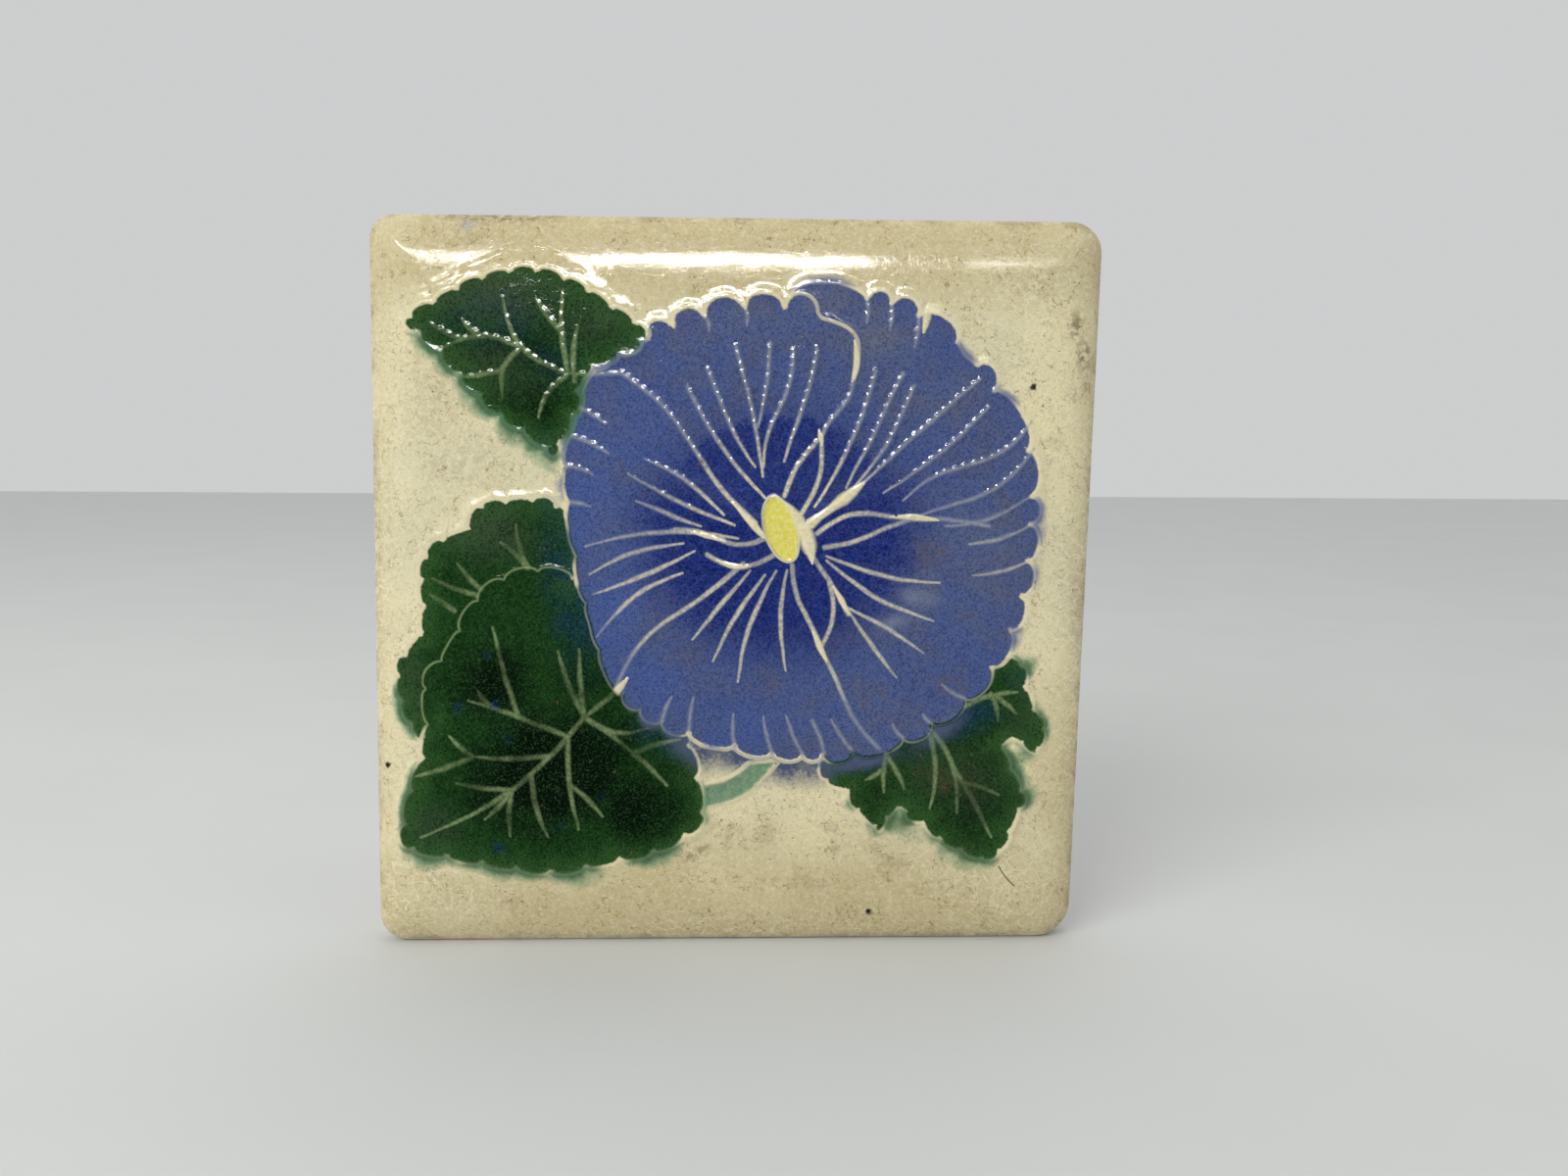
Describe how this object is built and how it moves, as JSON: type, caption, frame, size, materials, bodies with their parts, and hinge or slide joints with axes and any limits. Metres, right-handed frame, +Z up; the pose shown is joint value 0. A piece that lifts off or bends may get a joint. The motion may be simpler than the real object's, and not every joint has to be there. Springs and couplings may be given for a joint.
{
  "type": "floral ceramic wall tile",
  "caption": "Upright square wall tile of glazed clay with a raised picture of a ruffled blue flower, veined green leaves and a stem on cream, softly rounded edges and a flat back.",
  "frame": {"origin": "middle of the flat back, where the tile is bedded on a wall", "axes": "+Y out of the back towards the wall, so the picture faces -Y; +Z up and +X to the right as the picture is seen"},
  "size_m": [0.1522, 0.0109, 0.153],
  "materials": {
    "glazed_clay": "glossy crackled glaze, cream with blue, green, turquoise and yellow areas"
  },
  "bodies": {
    "root": {"tile": "glazed_clay"}
  },
  "joints": []
}
